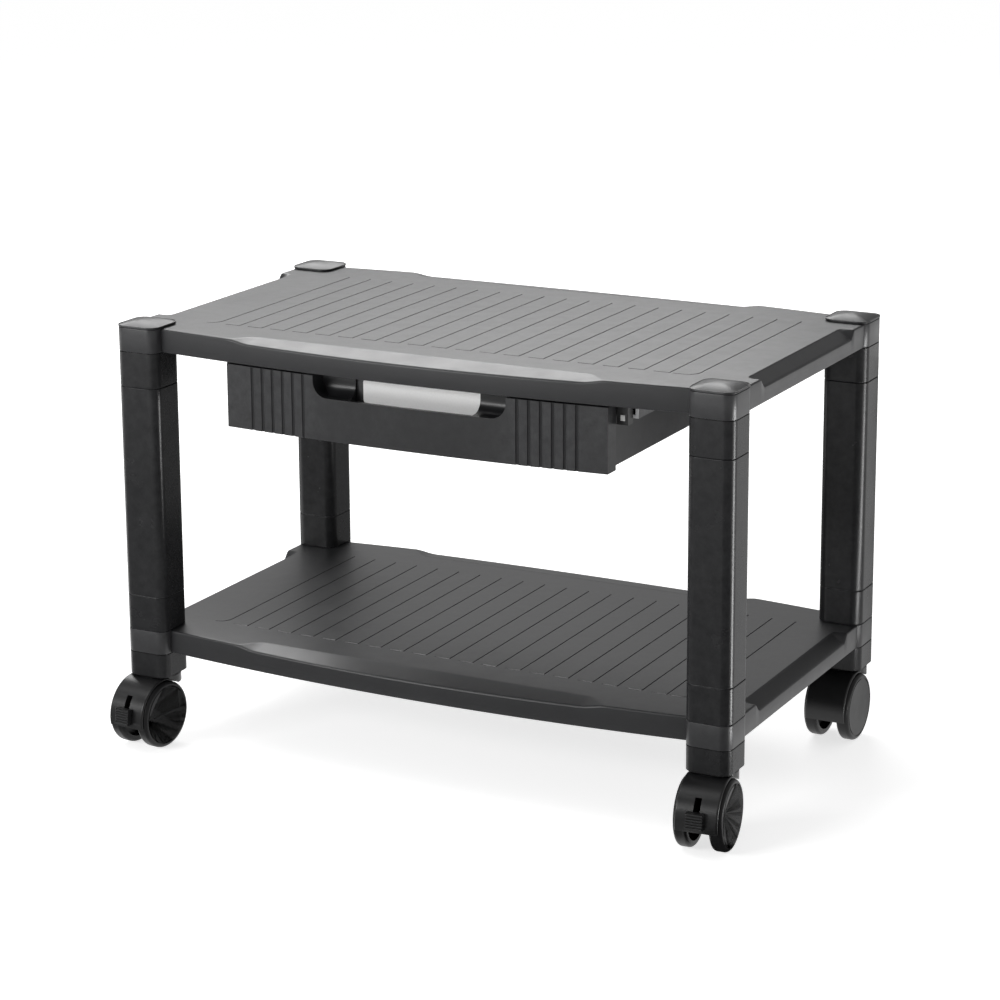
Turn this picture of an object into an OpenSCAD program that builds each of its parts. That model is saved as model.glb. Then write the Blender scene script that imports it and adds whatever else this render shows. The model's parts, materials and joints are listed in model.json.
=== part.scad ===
// Mobile printer stand: two moulded shelves on four push-together corner legs,
// a shallow drawer hung under the top shelf, and four twin-wheel casters.
// X runs left to right, the drawer opens towards -Y, Z is up.
// The origin is on the floor, at the middle of the stand's overall footprint.

/* [Overall] */
// distance between leg centres, left to right
leg_dx = 398; // [360:1:430]
// distance between leg centres, front to back
leg_dy = 215; // [205:1:240]
// outer width of the square leg section
leg_w = 30; // [28:0.5:32]
// corner radius of the leg section
leg_r = 7; // [6:0.5:9]
// wall thickness of the leg tubes and shelf sockets
leg_wall = 2.2; // [1.8:0.1:2.6]

/* [Stack heights] */
// floor to the underside of the foot
caster_h = 46.5; // [46.5:0.5:54]
// height of the caster foot block
foot_h = 16.3; // [14:0.1:22]
// height of each shelf
shelf_h = 15.2; // [14:0.1:20]
// height of the short collars above and below each tube
collar_h = 23.4; // [16:0.2:40]
// visible height of the leg tubes
tube_h = 139; // [110:1:260]
// height of the domed cap above the shelf
cap_rise = 4; // [3:0.5:6]

/* [Shelf] */
// half width of the shelf plate at its side walls
side_x = 212; // [205:0.5:214]
// half depth of the shelf plate on the centre line
front_mid = 126; // [122:0.5:130]
// how far the bowed edge falls back from its middle to the legs
front_sag = 11.5; // [9:0.5:14]
// thickness of the shelf plate
skin = 3; // [2.5:0.25:4]
// thickness of the shelf's outer walls
wall = 2.5; // [2:0.25:3]
// length of the sloped lip on the front and back edges
lip_len = 266; // [220:2:290]
// width of the sloped lip on the centre line
lip_in = 18; // [14:0.5:22]
// drop of the sloped lip at the outer wall
lip_drop = 3; // [2:0.25:3.5]
// length of the hand scoop in each side edge
scoop_len = 154; // [120:2:170]
// width of the hand scoop
scoop_in = 10; // [7:0.5:12]
// drop of the hand scoop at the outer wall
scoop_drop = 5.5; // [4:0.25:7]
// number of fine engraved lines on the plate
line_n = 21; // [11:1:25]
// width of an engraved line
line_w = 0.8; // [0.6:0.1:1.2]
// depth of an engraved line
line_d = 0.5; // [0.3:0.1:0.8]

/* [Drawer] */
// width of the drawer front
front_w = 265; // [240:1:268]
// height of the drawer front
front_h = 40.6; // [36:0.2:50]
// outer width of the drawer box
box_w = 260; // [236:1:262]
// depth of the drawer box, front to back
box_d = 199; // [150:1:200]
// width of the finger recess in the drawer front
grip_w = 134; // [110:2:140]
// depth of the finger recess below the shelf
grip_h = 15; // [12:0.5:18]
// number of vertical grooves at each end of the drawer front
groove_n = 6; // [3:1:6]
// spacing of the vertical grooves
groove_pitch = 7.7; // [6:0.1:7.8]

/* [Casters] */
// wheel diameter
wheel_d = 44; // [40:0.5:44]
// overall width of a caster
caster_w = 31; // [29:0.5:31]
// horizontal distance from the swivel axis to the wheel axle
trail = 12; // [11:0.5:13]
// how far the front casters are swivelled outwards at rest
turn = 5; // [0:1:10]

/* [Hidden] */
// levels, floor upwards
z_low = caster_h + foot_h;
z_low_top = z_low + shelf_h;
z_tube = z_low_top + collar_h;
z_tube_top = z_tube + tube_h;
z_up = z_tube_top + collar_h;
z_top = z_up + shelf_h;

// leg joints
gap = 0.2;
seam = 0.5;
seam_in = 0.6;
socket_w = leg_w - 2 * leg_wall;
socket_r = leg_r - leg_wall;
spigot_w = socket_w - 2 * gap;
spigot_r = socket_r - gap;
spigot_wall = 2.4;
plug_h = 6.5;
tube_plug_h = 12;
cap_rim = 1.2;
cap_proud = 0.25;

// shelf plan: bowed front and back edges are arcs through three points
bow_half = leg_dx / 2 - leg_w / 2;
bow_r = (bow_half * bow_half + front_sag * front_sag) / (2 * front_sag);
bow_c = bow_r - front_mid;
end_r = 6;
rib = 2;
rib_lift = 1;
rib_x = 50;
line_x0 = -0.81 * leg_dx / 2;
line_x1 = 0.87 * leg_dx / 2;
line_pitch = (line_x1 - line_x0) / (line_n - 1);
line_y = 0.78 * leg_dy / 2;
line_foot = 0.6 * line_pitch;
hook_r = 8;
shadow_w = 0.4;
big = 600;

// drawer, measured down from the underside of the top shelf
front_gap = 1.4;
back_y = leg_dy / 2 - 0.5;
face_mid = front_mid - 1.8;
face_r = bow_r - 1.8;
face_wall = 2.5;
grip_deep = 4;
grip_r = 10;
grip_back = 1.6;
scoop_r = 8;
scoop_y = -back_y - 3.3 - scoop_r;
box_drop = 40.5;
rim_drop = 6.5;
box_wall = 2.5;
flange_t = 2.5;
flange_w = 9.5;
flange_y = 8;
front_wall_drop = 3.5;
rail_t = 2;
rail_y0 = -leg_dy / 2 + 9.5;
rail_len = 198;
rail_x = box_w / 2 + 11;
rail_top_w = 13;
lip_gap = 0.3;
stud_x = 54;
stud_drop = grip_h + (grip_deep + face_wall) / 2;
screw_y = 70;
screw_x = rail_x + rail_t + 6.5;
head_r = 3.5;
head_h = 2.2;
shank_r = 1.75;
card_w = 82;
card_play = 5;
card_t = 0.6;
card_h = 15;
groove_r = 1.1;
groove_x0 = grip_w / 2 + 7.4;

// casters
wheel_r = wheel_d / 2;
web = 13;
well_r = wheel_r + 0.9;
hood_r = wheel_r + 1.9;
hood_edge = 1.2;
hood_top = wheel_r + hood_r;
neck_r = 14.5;
neck_h = 5.9;
neck_low = hood_top - neck_h;
hood_low = wheel_r - 4.5;
wheel_proud = 2;
stem_r = 3.5;
stem_low = 24;
axle_r = 2;
run = 0.05;
slot_w = 4.2;
arm_w = 3.4;
hub_r = 5;
tab_w = 10.5;
tab_t = 4;
tab_low = 5.5;
lever = 8.5;
wheel_w = (caster_w - web) / 2 - 0.5;
bore_end = web / 2 + 0.5 + wheel_w - 2;
axle_len = 2 * (bore_end - 0.3);

// the front casters trail forwards, so the footprint is moved to be centred
reach_tab = trail + (hood_r + 0.4 + tab_t) * cos(lever) + tab_low * sin(lever);
reach_front = leg_dy / 2 + reach_tab * cos(turn) + tab_w / 2 * sin(turn);
reach_back = max(front_mid, leg_dy / 2 + leg_w / 2);
y_off = (reach_front - reach_back) / 2;

// ---------- plan shapes ----------

// rectangle with rounded corners, centred
module rrect(w, d, r) {
  square([w, d - 2 * r], center = true);
  square([w - 2 * r, d], center = true);
  for (i = [-1, 1], j = [-1, 1])
    translate([i * (w / 2 - r), j * (d / 2 - r)]) circle(r, $fn = 48);
}

// square leg section
module section(w, r) {
  rrect(w, w, r);
}

// disc whose edge is the bowed front edge, drawn back by o
module bow(o) {
  translate([0, bow_c]) circle(bow_r - o, $fn = 360);
}

// shelf plate without its corner blocks, drawn in by o
module plate(o) {
  intersection() {
    square([2 * (side_x - o), big], center = true);
    bow(o);
    mirror([0, 1]) bow(o);
  }
}

// ---------- placing ----------

module stand() {
  translate([0, y_off, 0]) children();
}

module at_leg(i, j) {
  stand() translate([i * leg_dx / 2, j * leg_dy / 2, 0]) children();
}

// caster frame: swivel axis on Z, the front pair swivelled outwards
module at_caster(i, j) {
  at_leg(i, j) rotate([0, 0, j < 0 ? i * turn : 0]) children();
}

// axle frame: Z along the axle, X up
module on_axle() {
  translate([0, -trail, wheel_r]) rotate([0, -90, 0]) children();
}

// ---------- shelf ----------

module ribs() {
  for (x = [-screw_x, -rib_x, rib_x, screw_x])
    translate([x - rib / 2, -big / 2, rib_lift]) cube([rib, big, shelf_h - rib_lift - skin / 2]);
  translate([-big / 2, -rib / 2, rib_lift]) cube([big, rib, shelf_h - rib_lift - skin / 2]);
}

// sloped lip cut on the front edge: a tilted tray whose floor is the slope
module lip_cut() {
  translate([0, -front_mid + lip_in, shelf_h]) rotate([atan(lip_drop / lip_in), 0, 0])
    linear_extrude(20) translate([0, -30]) rrect(lip_len, 60, end_r);
}

// hand scoop cut on the right edge
module scoop_cut() {
  translate([side_x - scoop_in, 0, shelf_h]) rotate([0, atan(scoop_drop / scoop_in), 0])
    linear_extrude(20) translate([30, 0]) rrect(60, scoop_len, end_r);
}

// quarter turn that ends the outermost engraved lines
module hook(a) {
  rotate([0, 0, a]) intersection() {
    difference() {
      circle(hook_r + line_w / 2, $fn = 48);
      circle(hook_r - line_w / 2, $fn = 48);
    }
    square(2 * hook_r);
  }
}

module lines() {
  translate([0, 0, shelf_h - line_d]) linear_extrude(2 * line_d) {
    for (k = [0 : line_n - 1]) {
      x = line_x0 + k * line_pitch;
      hooked = k == 0 || k == line_n - 1;
      foot_y = hooked ? -line_y + hook_r : -line_y;
      translate([x - line_w / 2, foot_y]) square([line_w, line_y - foot_y]);
      if (!hooked)
        translate([x - line_foot, -line_y]) square([line_foot + line_w / 2, line_w]);
      else
        translate([x - hook_r, -line_y + hook_r]) hook(-90);
    }
    translate([line_x1 - hook_r - 6, -line_y - line_w / 2]) square([6, line_w]);
  }
}

// fine groove round each leg, so that a leg's cap or collar stands clear of the plate
module shadow_lines() {
  for (i = [-1, 1], j = [-1, 1])
    translate([i * leg_dx / 2, j * leg_dy / 2, shelf_h - line_d]) linear_extrude(1) difference() {
      section(leg_w + 2 * shadow_w, leg_r + shadow_w);
      section(leg_w, leg_r);
    }
}

module shelf(bosses) {
  difference() {
    union() {
      translate([0, 0, shelf_h - skin]) linear_extrude(skin) plate(0);
      linear_extrude(shelf_h) difference() {
        plate(0);
        plate(wall);
      }
      intersection() {
        linear_extrude(shelf_h) plate(wall / 2);
        union() {
          ribs();
          // thicker plate under the sloped lips and the hand scoops
          for (j = [-1, 1])
            translate([-lip_len / 2 - 4, j * (front_mid + 10) - 16, shelf_h - skin - lip_drop])
              translate([0, -j * 16, 0]) cube([lip_len + 8, 32, lip_drop + skin / 2]);
          for (i = [-1, 1])
            translate([i * (side_x - scoop_in) - 12, -scoop_len / 2 - 4, shelf_h - skin - scoop_drop])
              cube([24, scoop_len + 8, scoop_drop + skin / 2]);
          if (bosses)
            for (i = [-1, 1], j = [-1, 1])
              translate([i * screw_x, j * screw_y, 0])
                cylinder(r = 4, h = shelf_h - skin / 2, $fn = 32);
        }
      }
      for (i = [-1, 1], j = [-1, 1])
        translate([i * leg_dx / 2, j * leg_dy / 2, 0]) linear_extrude(shelf_h) section(leg_w, leg_r);
    }
    for (i = [-1, 1], j = [-1, 1])
      translate([i * leg_dx / 2, j * leg_dy / 2, -1])
        linear_extrude(shelf_h + 2) section(socket_w, socket_r);
    shadow_lines();
    lip_cut();
    mirror([0, 1, 0]) lip_cut();
    scoop_cut();
    mirror([1, 0, 0]) scoop_cut();
    lines();
    if (bosses)
      for (i = [-1, 1], j = [-1, 1])
        translate([i * screw_x, j * screw_y, -1])
          cylinder(r = shank_r + 0.1, h = 11, $fn = 32);
  }
}

module top_shelf() {
  color([0.2, 0.2, 0.21]) stand() translate([0, 0, z_up]) shelf(true);
}

module bottom_shelf() {
  color([0.2, 0.2, 0.21]) stand() translate([0, 0, z_low]) shelf(false);
}

// ---------- legs ----------

// hollow plug that pushes into a socket
module plug(h) {
  linear_extrude(h) difference() {
    section(spigot_w, spigot_r);
    section(spigot_w - 2 * spigot_wall, spigot_r - spigot_wall);
  }
}

// hollow block of the leg section with a fine seam line at both ends
module block(h) {
  difference() {
    union() {
      linear_extrude(h) section(leg_w - 2 * seam_in, leg_r - seam_in);
      translate([0, 0, seam]) linear_extrude(h - 2 * seam) section(leg_w, leg_r);
    }
    translate([0, 0, -1]) linear_extrude(h + 2)
      section(spigot_w - 2 * spigot_wall, spigot_r - spigot_wall);
  }
}

module cap(i, j) {
  bulge = cap_rise - seam - cap_rim;
  dome_r = (leg_w * leg_w / 4 + bulge * bulge) / (2 * bulge);
  color([0.17, 0.17, 0.18]) at_leg(i, j) translate([0, 0, z_top]) {
    linear_extrude(seam) section(leg_w - 2 * seam_in, leg_r - seam_in);
    translate([0, 0, seam]) {
      linear_extrude(cap_rim) section(leg_w + 2 * cap_proud, leg_r + cap_proud);
      intersection() {
        linear_extrude(cap_rise) section(leg_w + 2 * cap_proud, leg_r + cap_proud);
        translate([0, 0, cap_rise - seam - dome_r]) sphere(dome_r, $fn = 96);
      }
    }
    translate([0, 0, -plug_h]) plug(plug_h + seam);
  }
}

module upper_collar(i, j) {
  color([0.19, 0.19, 0.2]) at_leg(i, j) translate([0, 0, z_tube_top]) {
    block(collar_h);
    translate([0, 0, -tube_plug_h]) plug(tube_plug_h + seam);
    translate([0, 0, collar_h - seam]) plug(plug_h + seam);
  }
}

module leg_tube(i, j) {
  color([0.18, 0.18, 0.19]) at_leg(i, j) translate([0, 0, z_tube]) linear_extrude(tube_h) difference() {
    section(leg_w, leg_r);
    section(socket_w, socket_r);
  }
}

module lower_collar(i, j) {
  color([0.19, 0.19, 0.2]) at_leg(i, j) translate([0, 0, z_low_top]) {
    block(collar_h);
    translate([0, 0, -plug_h]) plug(plug_h + seam);
    translate([0, 0, collar_h - seam]) plug(tube_plug_h + seam);
  }
}

module foot(i, j) {
  color([0.17, 0.17, 0.18]) at_leg(i, j) translate([0, 0, caster_h]) difference() {
    union() {
      block(foot_h);
      linear_extrude(3) section(leg_w - 2 * seam_in, leg_r - seam_in);
      cylinder(r = 8, h = foot_h + 2, $fn = 48);
      for (a = [0, 90])
        rotate([0, 0, a]) translate([-leg_w / 2 + 4, -1, 0]) cube([leg_w - 8, 2, foot_h - 1]);
      translate([0, 0, foot_h - seam]) plug(plug_h + seam);
    }
    translate([0, 0, -1]) cylinder(r = stem_r + run, h = foot_h + 10, $fn = 48);
  }
}

module stem(i, j) {
  color([0.65, 0.65, 0.67]) at_leg(i, j) difference() {
    union() {
      translate([0, 0, stem_low + 1]) cylinder(r = stem_r, h = caster_h + foot_h - stem_low - 1, $fn = 48);
      translate([0, 0, stem_low]) cylinder(r1 = stem_r - 1, r2 = stem_r, h = 1, $fn = 48);
      translate([0, 0, caster_h + foot_h]) cylinder(r1 = stem_r, r2 = stem_r - 1, h = 1, $fn = 48);
    }
    translate([0, 0, caster_h + foot_h - 6]) difference() {
      cylinder(r = stem_r + 1, h = 1.5, $fn = 48);
      cylinder(r = stem_r - 0.6, h = 1.5, $fn = 48);
    }
  }
}

// ---------- drawer ----------

// everything below is measured from the underside of the top shelf
module under_shelf() {
  stand() translate([0, 0, z_up]) children();
}

// Z-shaped hanging rail, right-hand side
module rail() {
  translate([0, rail_y0, 0]) difference() {
    union() {
      translate([rail_x, 0, -rim_drop - flange_t - lip_gap - rail_t])
        cube([rail_t, rail_len, rim_drop + flange_t + lip_gap + rail_t]);
      translate([rail_x, 0, -rail_t]) cube([rail_top_w, rail_len, rail_t]);
      translate([box_w / 2 + 1.5, 0, -rim_drop - flange_t - lip_gap - rail_t])
        cube([rail_x - box_w / 2 - 0.5, rail_len, rail_t]);
    }
    for (j = [-1, 1])
      translate([screw_x, j * screw_y - rail_y0, -rail_t - 1])
        cylinder(r = 2, h = rail_t + 2, $fn = 32);
  }
}

module rail_right() {
  color([0.3, 0.3, 0.31]) under_shelf() rail();
}

module rail_left() {
  color([0.3, 0.3, 0.31]) under_shelf() mirror([1, 0, 0]) rail();
}

// pan-head screw, head down at z = 0, shank up
module screw(len) {
  difference() {
    union() {
      translate([0, 0, -head_h]) cylinder(r1 = head_r - 0.8, r2 = head_r, h = head_h, $fn = 32);
      cylinder(r = shank_r, h = len - 1, $fn = 32);
      translate([0, 0, len - 1]) cylinder(r1 = shank_r, r2 = 0.6, h = 1, $fn = 32);
    }
    for (a = [0, 90])
      rotate([0, 0, a]) translate([-2, -0.4, -head_h - 1]) cube([4, 0.8, 1 + 1.2]);
  }
}

module rail_screws() {
  color([0.6, 0.6, 0.62]) under_shelf()
    for (i = [-1, 1], j = [-1, 1])
      translate([i * screw_x, j * screw_y, -rail_t]) screw(11);
}

module drawer_box() {
  color([0.15, 0.15, 0.16]) under_shelf() translate([0, -back_y, 0]) difference() {
    union() {
      translate([-box_w / 2, 0, -box_drop]) cube([box_w, box_d, box_drop - rim_drop]);
      translate([-box_w / 2 + 6, 0, -box_drop])
        cube([box_w - 12, box_wall, box_drop - front_wall_drop]);
      translate([-box_w / 2 - flange_w, flange_y, -rim_drop - flange_t])
        cube([box_w + 2 * flange_w, box_d - flange_y, flange_t]);
    }
    translate([0, box_d / 2, -box_drop + box_wall]) linear_extrude(box_drop)
      rrect(box_w - 2 * box_wall, box_d - 2 * box_wall, 5);
    for (i = [-1, 1])
      translate([i * stud_x, -1, -stud_drop]) rotate([-90, 0, 0])
        cylinder(r = 2, h = box_wall + 2, $fn = 32);
  }
}

// plan of the drawer front, drawn in by o from the face and ends
module face(o) {
  intersection() {
    translate([0, -back_y - 50]) square([front_w - 2 * o, 100], center = true);
    translate([0, bow_c]) circle(face_r - o, $fn = 360);
  }
}

// y of the drawer front's face at x
function face_y(x) = bow_c - sqrt(face_r * face_r - x * x);

// slab whose outline, seen from the front, is a rounded rectangle open at the top
module front_slab(w, drop, r) {
  translate([0, -back_y, 0]) rotate([90, 0, 0]) linear_extrude(60)
    translate([0, 30 - drop]) rrect(w, 60, r);
}

// finger recess: a quarter-round scoop along the drawer front
module scoop() {
  intersection() {
    front_slab(grip_w, grip_h, grip_r);
    union() {
      translate([0, scoop_y, -grip_h + scoop_r]) rotate([0, 90, 0])
        cylinder(r = scoop_r, h = grip_w + 2, center = true, $fn = 96);
      translate([-grip_w, scoop_y - 40, -grip_h]) cube([2 * grip_w, 40, 60]);
      translate([-grip_w, scoop_y - 1, -grip_h + scoop_r]) cube([2 * grip_w, scoop_r + 1, 60]);
    }
  }
}

module drawer_front() {
  low = -front_gap - front_h;
  pocket_w = card_w + card_play;
  color([0.18, 0.18, 0.19]) under_shelf() difference() {
    translate([0, 0, low]) linear_extrude(front_h) face(0);
    // hollow back, below the recess and at each end
    translate([0, 0, low + face_wall])
      linear_extrude(front_h + front_gap - grip_h - grip_deep - 2 * face_wall) face(face_wall);
    for (i = [-1, 1])
      translate([0, 0, low + face_wall]) linear_extrude(front_h - 2 * face_wall) intersection() {
        face(face_wall);
        translate([i * (grip_w / 2 + face_wall + 60), 0]) square([120, 2 * big], center = true);
      }
    scoop();
    // flat-backed pocket for the card, deeper than the scoop and behind the face
    intersection() {
      translate([0, -grip_back, 0]) front_slab(pocket_w, grip_h + grip_deep, 1.5);
      translate([0, 0, -grip_h - grip_deep - 1]) linear_extrude(60) face(face_wall);
    }
    // vertical grooves
    for (i = [-1, 1], k = [0 : groove_n - 1])
      translate([i * (groove_x0 + k * groove_pitch), face_y(groove_x0 + k * groove_pitch) - 0.3, low - 1])
        cylinder(r = groove_r, h = front_h + 2, $fn = 24);
    // pilot holes for the screws driven from inside the drawer
    for (i = [-1, 1])
      translate([i * stud_x, -back_y + 1, -stud_drop]) rotate([90, 0, 0])
        cylinder(r = shank_r + 0.1, h = 7.4, $fn = 32);
  }
}

// the card stands at the right-hand end of its pocket
module label_card() {
  color([0.88, 0.88, 0.87]) under_shelf()
    translate([card_play / 2 - 0.3, -back_y - grip_back - 0.02, -grip_h - grip_deep + 0.3])
      rotate([90, 0, 0]) linear_extrude(card_t) translate([0, card_h / 2]) rrect(card_w, card_h, 2);
}

module front_screws() {
  color([0.6, 0.6, 0.62]) under_shelf()
    for (i = [-1, 1])
      translate([i * stud_x, -back_y + box_wall, -stud_drop]) rotate([90, 0, 0]) screw(8);
}

// plastic glide that caps the front end of the drawer's flange, with a small pad on its face
module glide() {
  translate([box_w / 2 + 2.5, -back_y + 0.5, -rim_drop - flange_t - 5]) difference() {
    union() {
      cube([7.5, 7.2, 11.5]);
      translate([2.8, -0.5, 2.6]) cube([2.8, 1, 3.6]);
      translate([2, 0, 7.8]) cube([4, 16, 2]);
    }
    translate([-1, 3, 2]) cube([6, 10, 2.4]);
  }
}

module glide_right() {
  color([0.75, 0.75, 0.75]) under_shelf() glide();
}

module glide_left() {
  color([0.75, 0.75, 0.75]) under_shelf() mirror([1, 0, 0]) glide();
}

// ---------- casters ----------

// drum with rounded side edges, lying along the axle
module drum(r, w, e) {
  on_axle() rotate_extrude($fn = 96) {
    translate([0, -w / 2]) square([r - e, w]);
    translate([0, -w / 2 + e]) square([r, w - 2 * e]);
    for (s = [-1, 1]) translate([r - e, s * (w / 2 - e)]) circle(e, $fn = 32);
  }
}

// slab across the caster with a side profile given as [y, z] points
module side_slab(w, pts) {
  rotate([90, 0, 90]) translate([0, 0, -w / 2]) linear_extrude(w) polygon(pts);
}

module hood(i, j) {
  brake = j < 0;
  color([0.14, 0.14, 0.15]) at_caster(i, j) difference() {
    intersection() {
      union() {
        drum(hood_r, caster_w - 2 * wheel_proud, hood_edge);
        translate([0, 0, neck_low]) cylinder(r = neck_r, h = neck_h, $fn = 64);
      }
      side_slab(40, [[-60, hood_low], [-trail + 3, hood_low], [7, 18], [7, neck_low - 3],
        [16, neck_low], [16, 60], [-60, 60]]);
    }
    // wheel wells on both sides of the web, closed over the top and front only
    for (s = [-1, 1]) translate([s * (web / 2 + 15), 0, 0]) {
      on_axle() cylinder(r = well_r, h = 30, center = true, $fn = 96);
      translate([-15, -trail + 9, 0]) cube([30, 30, neck_low]);
    }
    translate([0, 0, stem_low - 1]) cylinder(r = stem_r + run, h = 40, $fn = 48);
    on_axle() cylinder(r = axle_r + run, h = 40, center = true, $fn = 32);
    // pocket and slot for the brake arm
    if (brake) {
      side_slab(slot_w, [[-trail, wheel_r - 6], [-trail + hub_r + 1, wheel_r - 6],
        [-trail + hub_r + 1, wheel_r + 6], [-trail, wheel_r + 8],
        [-trail - 20, wheel_r + 16.5], [-trail - 30, wheel_r + 16.5],
        [-trail - 30, wheel_r + 0.5], [-trail - 6, wheel_r - 6]]);
    }
  }
}

module axle(i, j) {
  color([0.65, 0.65, 0.67]) at_caster(i, j) on_axle()
    cylinder(r = axle_r, h = axle_len, center = true, $fn = 32);
}

module wheel(i, j, s) {
  x0 = web / 2 + 0.5;
  color([0.12, 0.12, 0.13]) at_caster(i, j) translate([0, -trail, wheel_r]) rotate([0, s * 90, 0])
    difference() {
      rotate_extrude($fn = 96) translate([0, x0]) {
        square([wheel_r - 2.5, wheel_w]);
        translate([0, 2]) square([wheel_r, wheel_w - 4.5]);
        translate([wheel_r - 2, 2]) circle(2, $fn = 32);
        translate([wheel_r - 2.5, wheel_w - 2.5]) circle(2.5, $fn = 32);
      }
      // hollow inner side, with a hub that takes the axle
      translate([0, 0, x0 - 1]) difference() {
        cylinder(r = wheel_r - 4, h = 6, $fn = 64);
        cylinder(r = 4.5, h = 6, $fn = 48);
      }
      translate([0, 0, x0 - 1]) cylinder(r = axle_r + run, h = bore_end - x0 + 1, $fn = 32);
      // shallow ring that marks the wheel disc
      translate([0, 0, x0 + wheel_w - 0.4]) difference() {
        cylinder(r = wheel_r - 2.6, h = 1, $fn = 64);
        cylinder(r = wheel_r - 3.4, h = 1, $fn = 64);
      }
    }
}

// brake lever: a hub on the axle, a flat arm through the slot, a ridged tab outside,
// the whole lever tilted up about the axle at rest
module brake(i, j) {
  color([0.13, 0.13, 0.14]) at_caster(i, j) translate([0, -trail, wheel_r])
    rotate([-lever, 0, 0]) translate([0, trail, -wheel_r]) difference() {
    union() {
      on_axle() cylinder(r = hub_r, h = arm_w, center = true, $fn = 48);
      side_slab(arm_w, [[-trail, wheel_r - 3], [-trail, wheel_r + 3],
        [-trail - hood_r - 1, wheel_r + 3], [-trail - hood_r - 1, wheel_r - 3]]);
      difference() {
        translate([-tab_w / 2, -trail - hood_r - 0.4 - tab_t, wheel_r - tab_low])
          cube([tab_w, tab_t + 3, 10.5]);
        on_axle() cylinder(r = hood_r + 0.4, h = 40, center = true, $fn = 96);
        for (k = [0 : 5])
          translate([-10, -trail - hood_r - 0.4 - tab_t, wheel_r - 4.4 + k * 1.65])
            rotate([45, 0, 0]) cube([20, 0.8, 0.8]);
      }
    }
    on_axle() cylinder(r = axle_r + run, h = 40, center = true, $fn = 32);
  }
}

// ---------- nodes ----------

top_shelf();
bottom_shelf();
cap(-1, -1);  // cap_fl
cap(1, -1);  // cap_fr
cap(-1, 1);  // cap_bl
cap(1, 1);  // cap_br
upper_collar(-1, -1);  // upper_collar_fl
upper_collar(1, -1);  // upper_collar_fr
upper_collar(-1, 1);  // upper_collar_bl
upper_collar(1, 1);  // upper_collar_br
leg_tube(-1, -1);  // leg_tube_fl
leg_tube(1, -1);  // leg_tube_fr
leg_tube(-1, 1);  // leg_tube_bl
leg_tube(1, 1);  // leg_tube_br
lower_collar(-1, -1);  // lower_collar_fl
lower_collar(1, -1);  // lower_collar_fr
lower_collar(-1, 1);  // lower_collar_bl
lower_collar(1, 1);  // lower_collar_br
foot(-1, -1);  // foot_fl
foot(1, -1);  // foot_fr
foot(-1, 1);  // foot_bl
foot(1, 1);  // foot_br
stem(-1, -1);  // stem_fl
stem(1, -1);  // stem_fr
stem(-1, 1);  // stem_bl
stem(1, 1);  // stem_br
rail_left();
rail_right();
rail_screws();
drawer_box();
drawer_front();
label_card();
front_screws();
glide_left();
glide_right();
hood(-1, -1);  // hood_fl
hood(1, -1);  // hood_fr
hood(-1, 1);  // hood_bl
hood(1, 1);  // hood_br
axle(-1, -1);  // axle_fl
axle(1, -1);  // axle_fr
axle(-1, 1);  // axle_bl
axle(1, 1);  // axle_br
wheel(-1, -1, -1);  // wheel_fl_l
wheel(-1, -1, 1);  // wheel_fl_r
wheel(1, -1, -1);  // wheel_fr_l
wheel(1, -1, 1);  // wheel_fr_r
wheel(-1, 1, -1);  // wheel_bl_l
wheel(-1, 1, 1);  // wheel_bl_r
wheel(1, 1, -1);  // wheel_br_l
wheel(1, 1, 1);  // wheel_br_r
brake(-1, -1);  // brake_fl
brake(1, -1);  // brake_fr
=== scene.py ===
"""Looks of the mobile printer stand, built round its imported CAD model.

The two shelves and the four corner caps are rebuilt as finely shaped bodies. Every other piece is the CAD
part itself with softened edges and a procedural material. Lengths are in millimetres until a mesh is made;
lights and reflection cards are in metres.
"""
import json
import math

import bpy
import numpy as np
from mathutils import Matrix, Vector


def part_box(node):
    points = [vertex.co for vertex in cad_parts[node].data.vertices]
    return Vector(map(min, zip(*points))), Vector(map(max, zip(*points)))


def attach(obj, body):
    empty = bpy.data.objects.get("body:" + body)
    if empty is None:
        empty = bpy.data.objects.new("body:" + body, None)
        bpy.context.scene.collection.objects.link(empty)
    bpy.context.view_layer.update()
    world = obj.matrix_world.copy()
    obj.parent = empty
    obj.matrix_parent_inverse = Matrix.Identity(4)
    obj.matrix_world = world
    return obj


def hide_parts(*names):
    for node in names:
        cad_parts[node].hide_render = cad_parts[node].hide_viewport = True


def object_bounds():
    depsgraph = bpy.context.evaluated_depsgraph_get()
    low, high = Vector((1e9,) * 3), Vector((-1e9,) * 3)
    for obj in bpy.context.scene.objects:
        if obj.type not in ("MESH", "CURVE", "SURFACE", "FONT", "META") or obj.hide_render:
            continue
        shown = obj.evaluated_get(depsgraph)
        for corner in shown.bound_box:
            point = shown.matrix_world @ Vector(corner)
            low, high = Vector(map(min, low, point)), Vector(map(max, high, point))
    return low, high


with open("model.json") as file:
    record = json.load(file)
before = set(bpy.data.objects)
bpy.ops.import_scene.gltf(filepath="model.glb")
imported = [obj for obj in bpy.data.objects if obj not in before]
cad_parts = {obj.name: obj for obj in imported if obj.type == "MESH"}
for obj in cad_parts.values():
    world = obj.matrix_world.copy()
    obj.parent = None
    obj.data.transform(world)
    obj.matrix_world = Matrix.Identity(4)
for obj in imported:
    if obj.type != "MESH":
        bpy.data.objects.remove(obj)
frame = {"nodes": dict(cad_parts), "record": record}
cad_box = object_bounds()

MM = 0.001

# ---------- camera and light ----------

CAMERA_AT = (847.4, -1623.7, 671.1)     # from the middle of the shelves, at floor level
AZIMUTH, ELEVATION, ROLL = 27.58, 13.62, -0.33
LENS = 105.15
SENSOR = 36.0
SHIFT = -0.1


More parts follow.
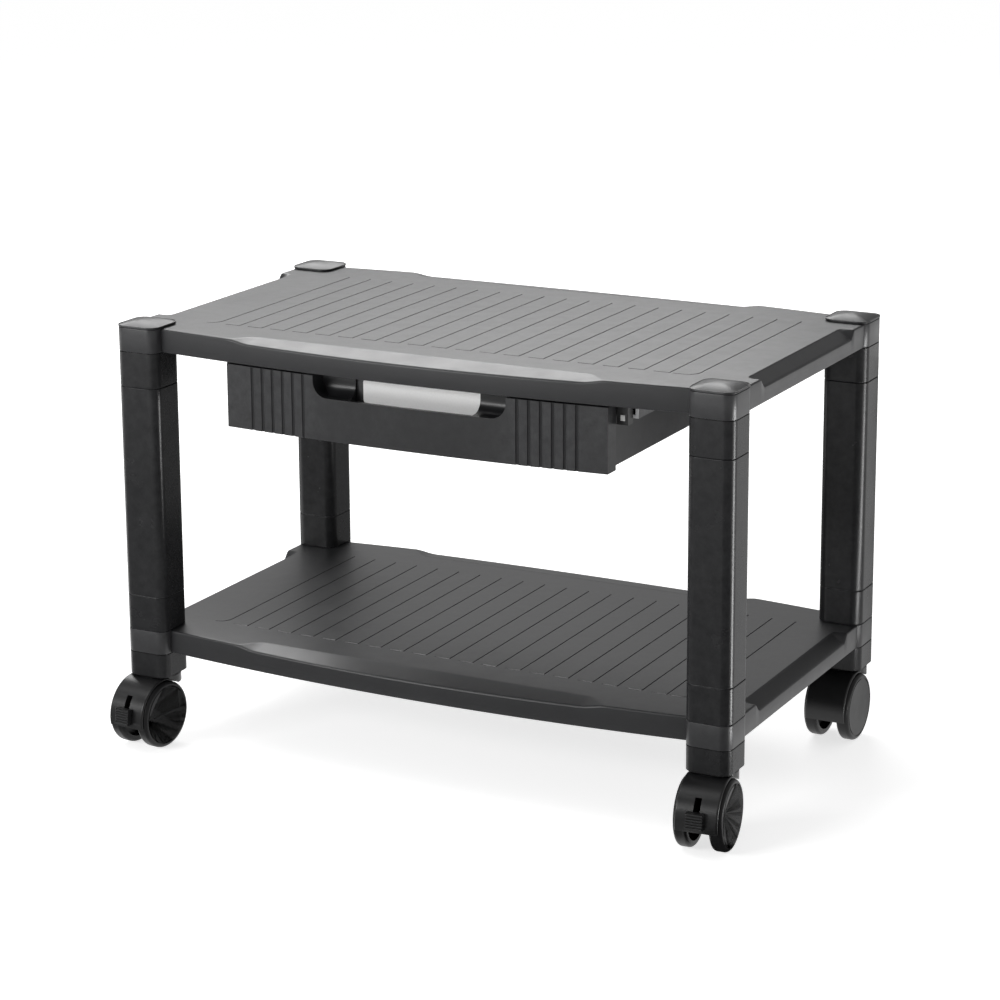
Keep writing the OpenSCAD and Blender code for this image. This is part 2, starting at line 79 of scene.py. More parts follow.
def add_camera():
    """The photographer's standpoint: front right, slightly above."""
    azimuth, elevation, roll = (math.radians(a) for a in (AZIMUTH, ELEVATION, ROLL))
    back = Vector((math.sin(azimuth) * math.cos(elevation), -math.cos(azimuth) * math.cos(elevation),
                   math.sin(elevation)))
    level = Vector((math.cos(azimuth), math.sin(azimuth), 0))
    upright = back.cross(level)
    right = level * math.cos(roll) + upright * math.sin(roll)
    up = back.cross(right)
    data = bpy.data.cameras.new("camera")
    data.lens, data.sensor_width, data.sensor_fit = LENS, SENSOR, "HORIZONTAL"
    data.shift_y = SHIFT
    data.clip_start, data.clip_end = 0.05, 60
    camera = bpy.data.objects.new("camera", data)
    turn = Matrix((right, up, back)).transposed().to_4x4()
    place = (Vector(CAMERA_AT) + Vector((0, Y_OFF, 0))) * MM
    camera.matrix_world = Matrix.Translation(place) @ turn
    bpy.context.scene.collection.objects.link(camera)
    bpy.context.scene.camera = camera


def add_area(name, toward, distance, aim, size, radiance):
    """A rectangular softbox in the direction (azimuth from -Y towards +X, elevation), facing aim."""
    azimuth, elevation = (math.radians(a) for a in toward)
    away = Vector((math.sin(azimuth) * math.cos(elevation), -math.cos(azimuth) * math.cos(elevation),
                   math.sin(elevation)))
    data = bpy.data.lights.new(name, "AREA")
    data.shape = "RECTANGLE"
    data.size, data.size_y = size
    data.energy = radiance * math.pi * size[0] * size[1]
    lamp = bpy.data.objects.new(name, data)
    facing = away.to_track_quat("Z", "Y").to_matrix().to_4x4()
    lamp.matrix_world = Matrix.Translation(Vector(aim) + away * distance) @ facing
    bpy.context.scene.collection.objects.link(lamp)


def glowing(name, strength):
    """Material of a card that only lights or darkens reflections."""
    made = bpy.data.materials.new(name)
    made.use_nodes = True
    nodes, links = made.node_tree.nodes, made.node_tree.links
    nodes.clear()
    glow = nodes.new("ShaderNodeEmission")
    glow.inputs["Strength"].default_value = strength
    output = nodes.new("ShaderNodeOutputMaterial")
    links.new(glow.outputs[0], output.inputs["Surface"])
    return made


def sector(apex, start, end, reach, height, inner=0.0, steps=12):
    """Outline of a slice of a ring lying flat; angles run from -Y towards +X."""
    angles = [math.radians(start + (end - start) * k / steps) for k in range(steps + 1)]
    rim = [(apex[0] + reach * math.sin(a), apex[1] - reach * math.cos(a), height) for a in angles]
    if not inner:
        return [(apex[0], apex[1], height)] + rim
    back = [(apex[0] + inner * math.sin(a), apex[1] - inner * math.cos(a), height) for a in angles[::-1]]
    return rim + back


def flat(left, right, near, far, height):
    """Outline of a rectangle lying on the floor in front of the stand."""
    return [(left, far, height), (right, far, height), (right, near, height), (left, near, height)]


def upright(left, right, y, high):
    """Outline of a screen standing on the floor across the view."""
    return [(left, y, 0), (right, y, 0), (right, y, high), (left, y, high)]


def add_card(name, outline, strength):
    """A photographer's card, black or bright, that shows in reflections only."""
    mesh = bpy.data.meshes.new(name)
    mesh.from_pydata(outline, [], [list(range(len(outline)))])
    mesh.materials.append(glowing(name, strength))
    card = bpy.data.objects.new(name, mesh)
    card.visible_camera = card.visible_diffuse = card.visible_shadow = False
    bpy.context.scene.collection.objects.link(card)


def add_world(low, high):
    """Soft light from all round, a little brighter overhead than at the horizon."""
    world = bpy.data.worlds.new("studio")
    bpy.context.scene.world = world
    world.use_nodes = True
    nodes, links = world.node_tree.nodes, world.node_tree.links
    nodes.clear()
    coordinate = nodes.new("ShaderNodeTexCoord")
    split = nodes.new("ShaderNodeSeparateXYZ")
    level = nodes.new("ShaderNodeMapRange")
    level.inputs["From Min"].default_value = -0.1
    level.inputs["From Max"].default_value = 0.9
    level.inputs["To Min"].default_value = low
    level.inputs["To Max"].default_value = high
    background = nodes.new("ShaderNodeBackground")
    background.inputs["Color"].default_value = (1, 1, 1, 1)
    output = nodes.new("ShaderNodeOutputWorld")
    links.new(coordinate.outputs["Generated"], split.inputs[0])
    links.new(split.outputs["Z"], level.inputs["Value"])
    links.new(level.outputs["Result"], background.inputs["Strength"])
    links.new(background.outputs[0], output.inputs["Surface"])


# ---------- materials ----------


def start_material(name):
    made = bpy.data.materials.new(name)
    made.use_nodes = True
    tree = made.node_tree
    return made, tree.nodes, tree.links, tree.nodes["Principled BSDF"]


def noise(nodes, links, place, scale, detail=3.0, rough=0.5):
    """Noise texture in the object's own coordinates; scale is in cycles per metre."""
    node = nodes.new("ShaderNodeTexNoise")
    node.inputs["Scale"].default_value = scale
    node.inputs["Detail"].default_value = detail
    node.inputs["Roughness"].default_value = rough
    links.new(place.outputs["Object"], node.inputs["Vector"])
    return node


def spread(nodes, links, source, low, high, from_low=0.3, from_high=0.7):
    """Maps a texture's middle range to low..high."""
    node = nodes.new("ShaderNodeMapRange")
    node.inputs["From Min"].default_value = from_low
    node.inputs["From Max"].default_value = from_high
    node.inputs["To Min"].default_value = low
    node.inputs["To Max"].default_value = high
    links.new(source, node.inputs["Value"])
    return node


def mix(nodes, links, factor, first, second):
    """Mixes two colours, each a plain colour or a socket."""
    node = nodes.new("ShaderNodeMix")
    node.data_type = "RGBA"
    links.new(factor, node.inputs["Factor"])
    for value, socket in ((first, node.inputs["A"]), (second, node.inputs["B"])):
        if isinstance(value, tuple):
            socket.default_value = (*value, 1)
        else:
            links.new(value, socket)
    return node.outputs["Result"]


def moulded_plastic(name, dark, light, rough, grain=0.05, grain_scale=1500, worn_and_sheen=(0.16, 0.16, 0.165),
                    wear_and_sheen=0.35, specular=0.5, tip=None):
    """Moulded plastic: mottled colour, leather-fine grain, uneven gloss and slightly paler edges, partly
    rubbed wear and partly a painted highlight.

    tip is (y, colour): whatever lies in front of y, in the part's own metres, takes that colour.
    """
    made, nodes, links, shader = start_material(name)
    place = nodes.new("ShaderNodeTexCoord")
    cloud = noise(nodes, links, place, 22, 5, 0.6)
    blend = spread(nodes, links, cloud.outputs["Fac"], 0, 1)
    tone = mix(nodes, links, blend.outputs["Result"], dark, light)
    geometry = nodes.new("ShaderNodeNewGeometry")
    # paler edges where pointiness is high: partly rubbed wear, partly a painted highlight along the edges
    edge = spread(nodes, links, geometry.outputs["Pointiness"], 0, wear_and_sheen, 0.52, 0.62)
    edge_patches = noise(nodes, links, place, 160, 4, 0.7)
    patchy = nodes.new("ShaderNodeMath")
    patchy.operation = "MULTIPLY"
    links.new(edge.outputs["Result"], patchy.inputs[0])
    links.new(spread(nodes, links, edge_patches.outputs["Fac"], 0.3, 1).outputs["Result"], patchy.inputs[1])
    body = mix(nodes, links, patchy.outputs[0], tone, worn_and_sheen)
    if tip:
        split = nodes.new("ShaderNodeSeparateXYZ")
        ahead = nodes.new("ShaderNodeMath")
        ahead.operation = "LESS_THAN"
        ahead.inputs[1].default_value = tip[0]
        links.new(place.outputs["Object"], split.inputs[0])
        links.new(split.outputs["Y"], ahead.inputs[0])
        body = mix(nodes, links, ahead.outputs[0], body, tip[1])
    links.new(body, shader.inputs["Base Color"])
    smear = noise(nodes, links, place, 48, 4, 0.65)
    gloss = spread(nodes, links, smear.outputs["Fac"], rough - 0.035, rough + 0.035)
    links.new(gloss.outputs["Result"], shader.inputs["Roughness"])
    shader.inputs["Specular IOR Level"].default_value = specular
    pebble = nodes.new("ShaderNodeTexVoronoi")
    pebble.feature = "SMOOTH_F1"
    pebble.inputs["Scale"].default_value = grain_scale
    links.new(place.outputs["Object"], pebble.inputs["Vector"])
    fine = noise(nodes, links, place, grain_scale * 1.7, 2, 0.6)
    height = nodes.new("ShaderNodeMath")
    height.operation = "ADD"
    links.new(pebble.outputs["Distance"], height.inputs[0])
    links.new(fine.outputs["Fac"], height.inputs[1])
    bump = nodes.new("ShaderNodeBump")
    bump.inputs["Strength"].default_value = grain
    bump.inputs["Distance"].default_value = 0.0002
    links.new(height.outputs[0], bump.inputs["Height"])
    links.new(bump.outputs["Normal"], shader.inputs["Normal"])
    return made


def plated_steel(name, colour, rough):
    """Zinc-plated steel: faint crystalline patches and fine drawing marks."""
    made, nodes, links, shader = start_material(name)
    place = nodes.new("ShaderNodeTexCoord")
    patch = noise(nodes, links, place, 260, 4, 0.6)
    pale = tuple(min(1, c * 1.25) for c in colour)
    share = spread(nodes, links, patch.outputs["Fac"], 0, 1)
    links.new(mix(nodes, links, share.outputs["Result"], colour, pale), shader.inputs["Base Color"])
    shader.inputs["Metallic"].default_value = 1
    streak = noise(nodes, links, place, 700, 3)
    gloss = spread(nodes, links, streak.outputs["Fac"], rough - 0.06, rough + 0.08)
    links.new(gloss.outputs["Result"], shader.inputs["Roughness"])
    bump = nodes.new("ShaderNodeBump")
    bump.inputs["Strength"].default_value = 0.1
    bump.inputs["Distance"].default_value = 0.0001
    links.new(noise(nodes, links, place, 2400, 2).outputs["Fac"], bump.inputs["Height"])
    links.new(bump.outputs["Normal"], shader.inputs["Normal"])
    return made


def paper(name, colour):
    """Uncoated card with faint fibres."""
    made, nodes, links, shader = start_material(name)
    place = nodes.new("ShaderNodeTexCoord")
    fibre = noise(nodes, links, place, 900, 5, 0.75)
    shade = tuple(c * 0.93 for c in colour)
    share = spread(nodes, links, fibre.outputs["Fac"], 0, 1)
    links.new(mix(nodes, links, share.outputs["Result"], shade, colour), shader.inputs["Base Color"])
    gloss = spread(nodes, links, fibre.outputs["Fac"], 0.7, 0.85)
    links.new(gloss.outputs["Result"], shader.inputs["Roughness"])
    bump = nodes.new("ShaderNodeBump")
    bump.inputs["Strength"].default_value = 0.15
    bump.inputs["Distance"].default_value = 0.0001
    links.new(fibre.outputs["Fac"], bump.inputs["Height"])
    links.new(bump.outputs["Normal"], shader.inputs["Normal"])
    return made


FLOOR_GLOW = 0.70           # lifts the floor to white without a hard shadow
FLOOR_REACH = 15            # half width of the floor, in metres


def pale_floor(name, colour):
    made, nodes, links, shader = start_material(name)
    place = nodes.new("ShaderNodeTexCoord")
    cloud = noise(nodes, links, place, 1.5, 2)
    shade = tuple(c * 0.985 for c in colour)
    links.new(mix(nodes, links, cloud.outputs["Fac"], shade, colour), shader.inputs["Base Color"])
    shader.inputs["Roughness"].default_value = 0.85
    shader.inputs["Specular IOR Level"].default_value = 0
    shader.inputs["Emission Color"].default_value = (1, 1, 1, 1)
    shader.inputs["Emission Strength"].default_value = FLOOR_GLOW
    return made


def front_of(node, depth):
    """Y of a plane depth behind the front of a CAD part, in the part's own metres."""
    part = frame["nodes"][node]
    return (part.matrix_world.inverted() @ (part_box(node)[0] + Vector((0, depth * MM, 0)))).y


charcoal = dict(dark=(0.0165, 0.0167, 0.0180), light=(0.0205, 0.0207, 0.0222))
graphite = dict(dark=(0.0074, 0.0075, 0.0081), light=(0.0096, 0.0097, 0.0105), specular=0.24)
slate = dict(dark=(0.0115, 0.0116, 0.0125), light=(0.0150, 0.0152, 0.0163), specular=0.34)
nylon = dict(dark=(0.0060, 0.0060, 0.0064), light=(0.0085, 0.0085, 0.0090), worn_and_sheen=(0.05, 0.05, 0.05))
BARE_STEEL_AND_HIGHLIGHT = (0.55, 0.55, 0.56)
PAD_GREY_AND_HIGHLIGHT = (0.55, 0.55, 0.54)
MATERIALS = {
    "shelf": moulded_plastic("shelf_plastic", rough=0.36, **charcoal),
    "leg": moulded_plastic("leg_plastic", rough=0.25, grain=0.015, **graphite),
    "cap": moulded_plastic("cap_plastic", rough=0.36, **slate),
    "drawer": moulded_plastic("drawer_plastic", rough=0.32, **slate),
    "hood": moulded_plastic("hood_nylon", rough=0.32, grain=0.04, grain_scale=1100, **nylon),
    "wheel": moulded_plastic("wheel_nylon", rough=0.38, grain=0.08, grain_scale=900, specular=0.28, wear_and_sheen=0,
                             **nylon),
    "steel": plated_steel("zinc_plate", (0.52, 0.52, 0.54), 0.32),
    # the rail's pale front end is partly bare cut steel and partly a painted highlight on that edge
    "rail": moulded_plastic("rail_paint", dark=(0.014, 0.014, 0.015), light=(0.020, 0.020, 0.021),
                            rough=0.35, grain=0.12, grain_scale=700, worn_and_sheen=(0.2, 0.2, 0.21),
                            tip=(front_of("rail_right", 0.3), BARE_STEEL_AND_HIGHLIGHT)),
    # the glide's light front pad is partly its own grey and partly a painted highlight
    "glide": moulded_plastic("glide_nylon", rough=0.40, grain=0.03,
                             tip=(front_of("glide_right", 0.4), PAD_GREY_AND_HIGHLIGHT), **nylon),
    "card": paper("card_stock", (0.96, 0.96, 0.955)),
}

# ---------- the shelves ----------

shelf_low, shelf_high = (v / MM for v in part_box("top_shelf"))
Y_OFF = (shelf_low.y + shelf_high.y) / 2
SHELF_H = shelf_high.z - shelf_low.z
SHELF_TOP = shelf_high.z
FRONT = (shelf_high.y - shelf_low.y) / 2
tube_low, tube_high = (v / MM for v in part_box("leg_tube_fr"))
LEG_W = tube_high.x - tube_low.x
LEG_X = (tube_low.x + tube_high.x) / 2
LEG_Y = Y_OFF - (tube_low.y + tube_high.y) / 2
LEG_R = 7                   # corner radius of the leg section
SIDE = LEG_X + 13           # half width of the plate at its side walls
SAG = 11.5                  # how far the bowed edge falls back from its middle to the legs
BOW_HALF = LEG_X - LEG_W / 2
BOW_R = (BOW_HALF ** 2 + SAG ** 2) / (2 * SAG)

LIP_Y = FRONT - 18          # inner edge of the sloped lip
LIP_SLOPE = 3 / 18
LIP_END = (115, 134)        # where the lip fades out to the left and right
SCOOP_X = SIDE - 10         # inner edge of the hand scoops
SCOOP_SLOPE = 5.5 / 10
SCOOP_HALF = 77             # half length of the hand scoops
SCOOP_R = 6
SCOOP_FADE = 6.5            # the scoop's ends flow out over this length
EDGE_R = 1.2                # rounding along the top edges
PLATE = 3                   # thickness of the plate
WALL = 2.5                  # thickness of the outer walls
RIB_X = 50                  # ribs left and right of the middle
RAIL_RIB_X = 149.5          # ribs that carry the drawer's rails
BOSS_Y = 70                 # screw bosses on those ribs
BOSS_R = 4
LEDGE_Z = 6.2               # thicker plate all round the underside, below the lips and scoops

LINES = 21
LINE_X = (-0.81 * LEG_X, 0.87 * LEG_X)
LINE_PITCH = (LINE_X[1] - LINE_X[0]) / (LINES - 1)
LINE_Y = 0.78 * LEG_Y
LINE_FOOT = 0.6 * LINE_PITCH
LINE_HALF = 0.42            # half width of an engraved line at the top
LINE_FLAT = 0.18            # half width of its flat bottom
LINE_DEEP = 0.8
HOOK_R = 8                  # quarter turns that end the outermost lines
TAIL = 6                    # short straight run after the right-hand turn


def smooth(t):
    t = np.clip(t, 0, 1)
    return t * t * (3 - 2 * t)


def soft_ramp(t, round_off):
    """t above zero and 0 below it, with the corner rounded over round_off."""
    return (t + np.sqrt(t * t + round_off * round_off)) / 2


def edge_y(x):
    """Half depth of the plate at x: the bowed edge."""
    return FRONT - BOW_R + np.sqrt(BOW_R ** 2 - x ** 2)


def to_segment(x, y, a, b):
    """Distance from points to the segment a-b."""
    ax, ay = a
    dx, dy = b[0] - ax, b[1] - ay
    t = np.clip(((x - ax) * dx + (y - ay) * dy) / (dx * dx + dy * dy), 0, 1)
    return np.hypot(x - ax - t * dx, y - ay - t * dy)


def line_distance(x, y):
    """Distance to the nearest engraved line, its foot or its rounded hook."""
    near = np.full(x.shape, 99.0)
    for k in range(LINES):
        at = LINE_X[0] + k * LINE_PITCH
        hooked = k in (0, LINES - 1)
        start = -LINE_Y + (HOOK_R if hooked else 0)
        near = np.minimum(near, to_segment(x, y, (at, start), (at, LINE_Y)))
        if not hooked:
            near = np.minimum(near, to_segment(x, y, (at, start), (at - LINE_FOOT, start)))
            continue
        cx, cy = at - HOOK_R, start
        ring = np.abs(np.hypot(x - cx, y - cy) - HOOK_R)
        near = np.where((x >= cx) & (y <= cy), np.minimum(near, ring), near)
    tail = LINE_X[1] - HOOK_R
    return np.minimum(near, to_segment(x, y, (tail, -LINE_Y), (tail - TAIL, -LINE_Y)))


def top_height(x, y):
    """Height of the shelf's upper surface above its underside."""
    edge = edge_y(x)
    lip_from = LIP_Y + (edge + 0.5 - LIP_Y) * smooth((np.abs(x) - LIP_END[0]) / (LIP_END[1] - LIP_END[0]))
    lip = LIP_SLOPE * soft_ramp(np.abs(y) - lip_from, 0.5)
    across, along = np.abs(x) - SCOOP_X, SCOOP_HALF - np.abs(y)
    corner = SCOOP_R - np.hypot(SCOOP_R - across, SCOOP_R - along)
    inward = np.where((across < SCOOP_R) & (along < SCOOP_R), corner, np.minimum(across, along))
    scoop = SCOOP_SLOPE * soft_ramp(across, 0.35) * smooth(np.minimum(inward / 1.1, along / SCOOP_FADE))
    groove = LINE_DEEP * (1 - smooth((line_distance(x, y) - LINE_FLAT) / (LINE_HALF - LINE_FLAT)))
    inside = np.minimum(edge - np.abs(y), SIDE - np.abs(x))
    short = np.clip(EDGE_R - inside, 0, EDGE_R)
    rounding = EDGE_R - np.sqrt(EDGE_R ** 2 - short ** 2)
    return SHELF_H - lip - scoop - groove - rounding


def spaced(low, high, step):
    return np.linspace(low, high, max(2, round((high - low) / step) + 1))


def plate_columns():
    """X of the grid's columns: close together wherever the surface turns quickly."""
    rim = SIDE - EDGE_R * np.array([1, 0.7, 0.45, 0.25, 0.1, 0.02, 0])
    parts = [spaced(-SIDE + EDGE_R, SIDE - EDGE_R, 5), rim, -rim]
    for side in (-1, 1):
        parts.append(side * spaced(SCOOP_X - 1.2, SCOOP_X + 1.2, 0.2))
        parts.append(side * spaced(SCOOP_X + 1.2, SIDE - EDGE_R, 0.7))
        parts.append(side * spaced(LIP_END[0] - 2, LIP_END[1] + 2, 1))
    for k in range(LINES):
        at = LINE_X[0] + k * LINE_PITCH
        parts.append(at + np.array([-0.6, -LINE_HALF, -0.3, -LINE_FLAT, LINE_FLAT, 0.3, LINE_HALF, 0.6]))
        parts.append(at - LINE_FOOT + np.array([-0.6, -0.4, -0.2, 0]))
    for at, reach in ((LINE_X[0], HOOK_R), (LINE_X[1], HOOK_R + TAIL)):
        parts.append(spaced(at - reach - 0.6, at - 0.6, 0.3))
    return thin(np.concatenate(parts))


def plate_rows():
    """Y of the grid's straight rows over one half of the plate."""
    straight = [spaced(0, LIP_Y, 6)]
    straight.append(spaced(LINE_Y - 0.8, LINE_Y + 0.8, 0.16))
    straight.append(spaced(LIP_Y - 1.5, LIP_Y, 0.5))
    straight.append(spaced(SCOOP_HALF - SCOOP_R - 1, SCOOP_HALF - 1.6, 0.6))
    straight.append(spaced(SCOOP_HALF - 1.6, SCOOP_HALF + 0.4, 0.2))
    return thin(np.concatenate(straight))


def thin(values, closest=0.07):
    """Sorted values with near-repeats left out."""
    kept = []
    for v in np.sort(values):
        if not kept or v - kept[-1] > closest:
            kept.append(v)
    return np.array(kept)


def plate_grid():
    """Grid of x and y over the plate: rows are straight inside and bowed at the rim."""
    columns = plate_columns()
    inner = plate_rows()
    hook_rows = spaced(LINE_Y - HOOK_R, LINE_Y - 0.8, 0.3)
    rim_inset = EDGE_R * np.array([1, 0.7, 0.45, 0.25, 0.1, 0.02, 0])
    slope_share = np.linspace(0, 1, 15)[1:-1]

    def half(extra):
        y_rows = [np.full(columns.shape, v) for v in thin(np.concatenate([inner, extra]))]
        last = edge_y(columns) - EDGE_R
        y_rows += [LIP_Y + (last - LIP_Y) * s for s in slope_share]
        y_rows += [edge_y(columns) - d for d in rim_inset]
        return y_rows

    front = [-r for r in reversed(half(hook_rows))]
    back = half(np.array([]))[1:]
    y = np.array(front + back)
    x = np.broadcast_to(columns, y.shape)
    return x, y


def shelf_shell():
    """Vertices and faces of the plate with its outer walls, closed underneath."""
    x, y = plate_grid()
    rows, cols = x.shape
    verts = [np.stack([x, y, top_height(x, y)], -1).reshape(-1, 3)]
    index = np.arange(rows * cols).reshape(rows, cols)
    quads = np.stack([index[:-1, :-1], index[:-1, 1:], index[1:, 1:], index[1:, :-1]], -1).reshape(-1, 4)
    faces = quads.tolist()
    border = np.concatenate([index[0, :-1], index[:-1, -1], index[-1, :0:-1], index[:0:-1, 0]])
    loop = verts[0][border]
    ahead, behind = np.roll(loop, -1, 0), np.roll(loop, 1, 0)
    along = ahead[:, :2] - behind[:, :2]
    along /= np.linalg.norm(along, axis=1, keepdims=True)
    outward = np.stack([along[:, 1], -along[:, 0]], -1)
    # (inset from the outer face, height) down the wall, under it, up inside and along the ledge
    under = SHELF_H - PLATE - LEDGE_Z
    profile = [(0, 0.7), (0.15, 0.25), (0.6, 0), (WALL - 0.3, 0), (WALL, 0.3), (WALL, under)]
    rings = [np.column_stack([loop[:, :2] - outward * inset, np.full(len(loop), z)]) for inset, z in profile]
    shrink = np.array([(SCOOP_X - 14) / SIDE, (LIP_Y - 5) / FRONT])
    for z in (under, SHELF_H - PLATE):
        rings.append(np.column_stack([loop[:, :2] * shrink, np.full(len(loop), z)]))
    previous = border
    count = rows * cols
    for ring in rings:
        verts.append(ring)
        current = np.arange(count, count + len(ring))
        count += len(ring)
        nxt_p, nxt_c = np.roll(previous, -1), np.roll(current, -1)
        faces += np.stack([previous, current, nxt_c, nxt_p], -1).tolist()
        previous = current
    faces.append(previous[::-1].tolist())
    return np.concatenate(verts), faces


def rounded_square(half, radius, steps=12):
    """Outline of a square with rounded corners, anticlockwise."""
    points = []
    for corner in range(4):
        start = math.radians(90 * corner)
        for a in np.linspace(0, math.pi / 2, steps + 1):
            cx = (half - radius) * (1, -1, -1, 1)[corner]
            cy = (half - radius) * (1, 1, -1, -1)[corner]
            points.append((cx + radius * math.cos(start + a), cy + radius * math.sin(start + a)))
    return np.array(points)


def loft(outlines, heights):
    """Closed body through outlines of equal point count at the given heights."""
    n = len(outlines[0])
    verts = np.concatenate([np.column_stack([o, np.full(n, z)]) for o, z in zip(outlines, heights)])
    faces = [list(range(n))[::-1]]
    for k in range(len(outlines) - 1):
        for i in range(n):
            j = (i + 1) % n
            faces.append([k * n + i, k * n + j, (k + 1) * n + j, (k + 1) * n + i])
    faces.append(list(range((len(outlines) - 1) * n, len(outlines) * n)))
    return verts, faces


def corner_block():
    """The leg's section moulded into the shelf corner."""
    steps = [(0.45, 0), (0.12, 0.12), (0, 0.45)]
    steps += [(inset, SHELF_H - z) for inset, z in reversed(steps)]
    return loft([rounded_square(LEG_W / 2 - i, LEG_R - i) for i, _ in steps], [z for _, z in steps])


def slab(low, high):
    """Rectangular rib from corner to corner."""
    (x0, y0, z0), (x1, y1, z1) = low, high
    outline = np.array([(x0, y0), (x1, y0), (x1, y1), (x0, y1)], float)
    return loft([outline, outline], [z0, z1])


def pillar(x, y, radius, z0, z1):
    a = np.linspace(0, 2 * math.pi, 32, endpoint=False)
    outline = np.column_stack([x + radius * np.cos(a), y + radius * np.sin(a)])
    return loft([outline, outline], [z0, z1])


def joined(parts):
    """One vertex and face list from several."""
    verts, faces, count = [], [], 0
    for v, f in parts:
        verts.append(np.asarray(v, float))
        faces += [[i + count for i in face] for face in f]
        count += len(v)
    return np.concatenate(verts), faces


def moved(part, offset):
    return np.asarray(part[0]) + np.array(offset), part[1]


def shelf_parts(bosses):
    """Plate, corner blocks, ribs and, on the top shelf, the screw bosses."""
    ceiling = SHELF_H - PLATE + 0.2
    parts = [shelf_shell()]
    parts += [moved(corner_block(), (i * LEG_X, j * LEG_Y, 0)) for i in (-1, 1) for j in (-1, 1)]
    for x in (-RAIL_RIB_X, -RIB_X, RIB_X, RAIL_RIB_X):
        reach = float(edge_y(np.array(x))) - WALL + 0.3
        parts.append(slab((x - 1, -reach, 1), (x + 1, reach, ceiling)))
    reach = SIDE - WALL + 0.3
    parts.append(slab((-reach, -1, 1), (reach, 1, SHELF_H - PLATE - LEDGE_Z + 0.2)))
    if bosses:
        places = [(i * RAIL_RIB_X, j * BOSS_Y) for i in (-1, 1) for j in (-1, 1)]
        parts += [pillar(x, y, BOSS_R, 0, ceiling) for x, y in places]
    return joined(parts)


def new_piece(name, part, offset, body, slot_name, *nodes):
    """A mesh piece that stands for CAD nodes and moves with their body."""
    verts, faces = part
    mesh = bpy.data.meshes.new(name)
    mesh.from_pydata(((verts + np.array(offset)) * MM).tolist(), [], faces)
    mesh.update()
    mesh.polygons.foreach_set("use_smooth", [True] * len(mesh.polygons))
    mesh.set_sharp_from_angle(angle=math.radians(40))
    mesh.materials.append(MATERIALS[slot_name])
    piece = bpy.data.objects.new(name, mesh)
    bpy.context.scene.collection.objects.link(piece)
    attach(piece, body)
    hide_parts(*nodes)
    return piece


def cap_body():
    """Push-on cap: a recessed neck, a thin upright rim and a pillow-shaped top."""
    half, rim_low, rim_high, rise = LEG_W / 2 + 0.25, 0.5, 1.7, 2.4
    steps = [(0.85, 0), (0.85, rim_low), (0.15, rim_low), (0, rim_low + 0.15), (0, rim_high - 0.2),
             (0.06, rim_high - 0.06), (0.2, rim_high), (0.5, rim_high), (0.7, rim_high - 0.25)]
    outlines = [rounded_square(half - i, LEG_R + 0.25 - i) for i, _ in steps]
    heights = [z for _, z in steps]
    for share in np.sin(np.linspace(0.5 * math.pi, 0, 22)[:-1]):
        outlines.append(rounded_square((half - 0.8) * share, (LEG_R - 0.55) * share))
        heights.append(rim_high - 0.2 + rise * (1 - share ** 2))
    return loft(outlines, heights)


def add_caps():
    for corner, i, j in (("fl", -1, -1), ("fr", 1, -1), ("bl", -1, 1), ("br", 1, 1)):
        node = "cap_" + corner
        place = (i * LEG_X, Y_OFF + j * LEG_Y, SHELF_TOP)
        new_piece(node + "_pillow", cap_body(), place, "frame", node_slot(node), node)


def add_shelves():
    for node, bosses in (("top_shelf", True), ("bottom_shelf", False)):
        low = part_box(node)[0] / MM
        new_piece(node + "_plate", shelf_parts(bosses), (0, Y_OFF, low.z), "frame", node_slot(node), node)


# ---------- CAD parts with softened edges ----------

SLOTS = {row["node"]: row["material_slot"] for row in frame["record"]["subparts"]}
EDGE = {"leg": 0.5, "hood": 0.35, "wheel": 0.25, "drawer": 0.4, "steel": 0.1, "rail": 0.25,
        "glide": 0.3, "card": 0.08}     # width of each slot's softened edges


def node_slot(node):
    return SLOTS[node]


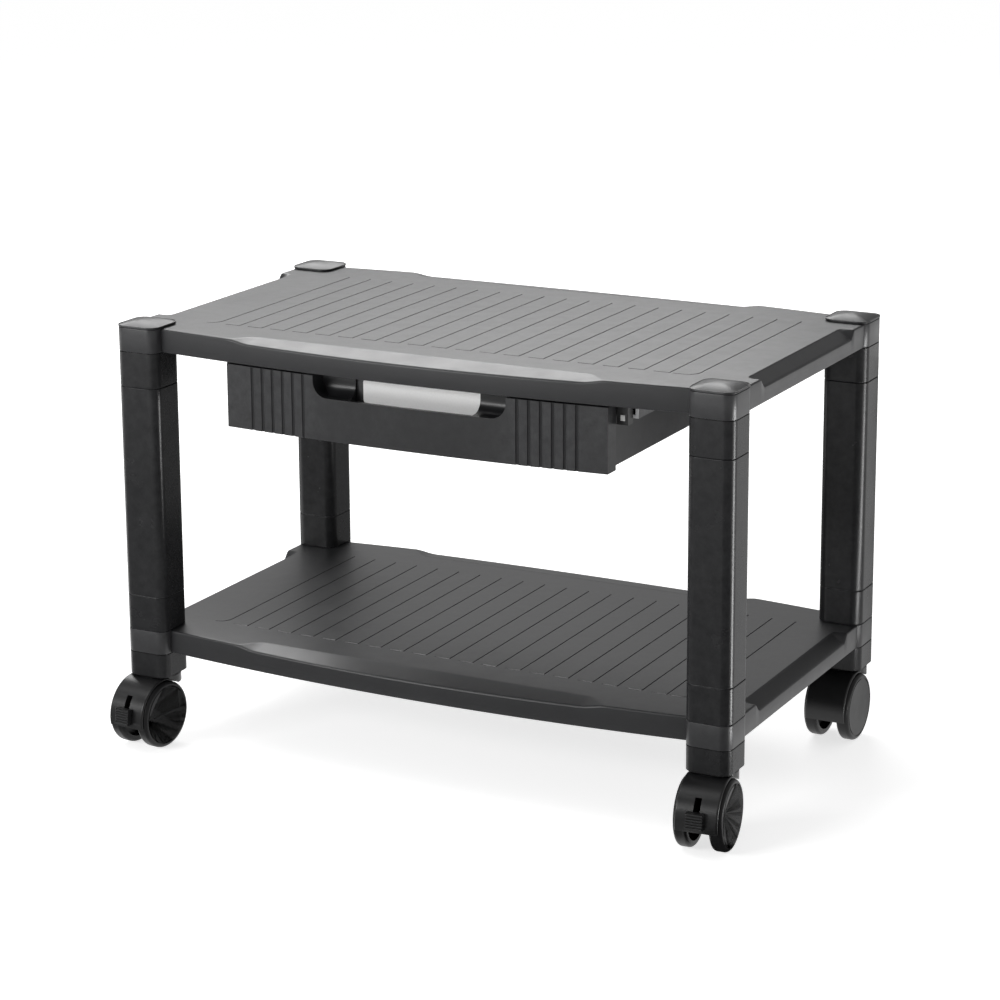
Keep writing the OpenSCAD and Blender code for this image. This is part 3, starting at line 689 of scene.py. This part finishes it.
def dress(node):
    """Gives a CAD part its material and softens its edges without touching its mesh."""
    part = frame["nodes"][node]
    slot_name = node_slot(node)
    part.data.materials.clear()
    part.data.materials.append(MATERIALS[slot_name])
    weld = part.modifiers.new("weld", "WELD")
    weld.merge_threshold = 0.002 * MM
    flat = part.modifiers.new("flat", "DECIMATE")
    flat.decimate_type = "DISSOLVE"
    flat.angle_limit = math.radians(0.4)
    edge = part.modifiers.new("edge", "BEVEL")
    edge.width = EDGE[slot_name] * MM
    edge.segments = 2
    edge.limit_method = "ANGLE"
    edge.angle_limit = math.radians(28)
    edge.use_clamp_overlap = True
    even = part.modifiers.new("even", "WEIGHTED_NORMAL")
    even.mode = "FACE_AREA_WITH_ANGLE"


# ---------- the scene ----------


def add_floor():
    mesh = bpy.data.meshes.new("floor")
    far = FLOOR_REACH
    mesh.from_pydata([(-far, -far, 0), (far, -far, 0), (far, far, 0), (-far, far, 0)], [], [(0, 1, 2, 3)])
    mesh.materials.append(pale_floor("floor_paint", (0.86, 0.86, 0.86)))
    floor = bpy.data.objects.new("floor", mesh)
    floor.location.z = cad_box[0].z
    bpy.context.scene.collection.objects.link(floor)


add_camera()
add_floor()
add_world(0.30, 0.35)
add_area("back_box", (217, 34), 2.6, (0, 0, 0.2), (1.9, 1.1), 5)
add_area("front_box", (-28, 20), 2.2, (0, 0, 0.15), (1.0, 0.4), 14)
add_area("edge_box", (-55, 56), 2.2, (0, 0, 0.15), (0.9, 0.9), 3)
NEAR_LEG = (LEG_X * MM, (Y_OFF - LEG_Y) * MM)
add_card("dark_card", sector(NEAR_LEG, -2, 82, 1.3, 0.0006), 0.02)
add_card("bright_card", sector(NEAR_LEG, 99, 115, 1.2, 0.0008, 0.2), 20)
add_card("grey_card", sector(NEAR_LEG, 122, 200, 1.3, 0.0004), 0.9)
add_card("near_card", flat(-1.2, 0.19, -0.13, -0.62, 0.0010), 0.35)
add_card("middle_card", flat(-1.2, 0.19, -0.62, -1.1, 0.0010), 0.62)
add_card("back_flag", upright(-0.9, 0.22, 0.146, 0.249), 0.35)
add_shelves()
add_caps()
for name in frame["nodes"]:
    if name not in ("top_shelf", "bottom_shelf") and not name.startswith("cap_"):
        dress(name)
bpy.context.scene.view_settings.view_transform = "Standard"
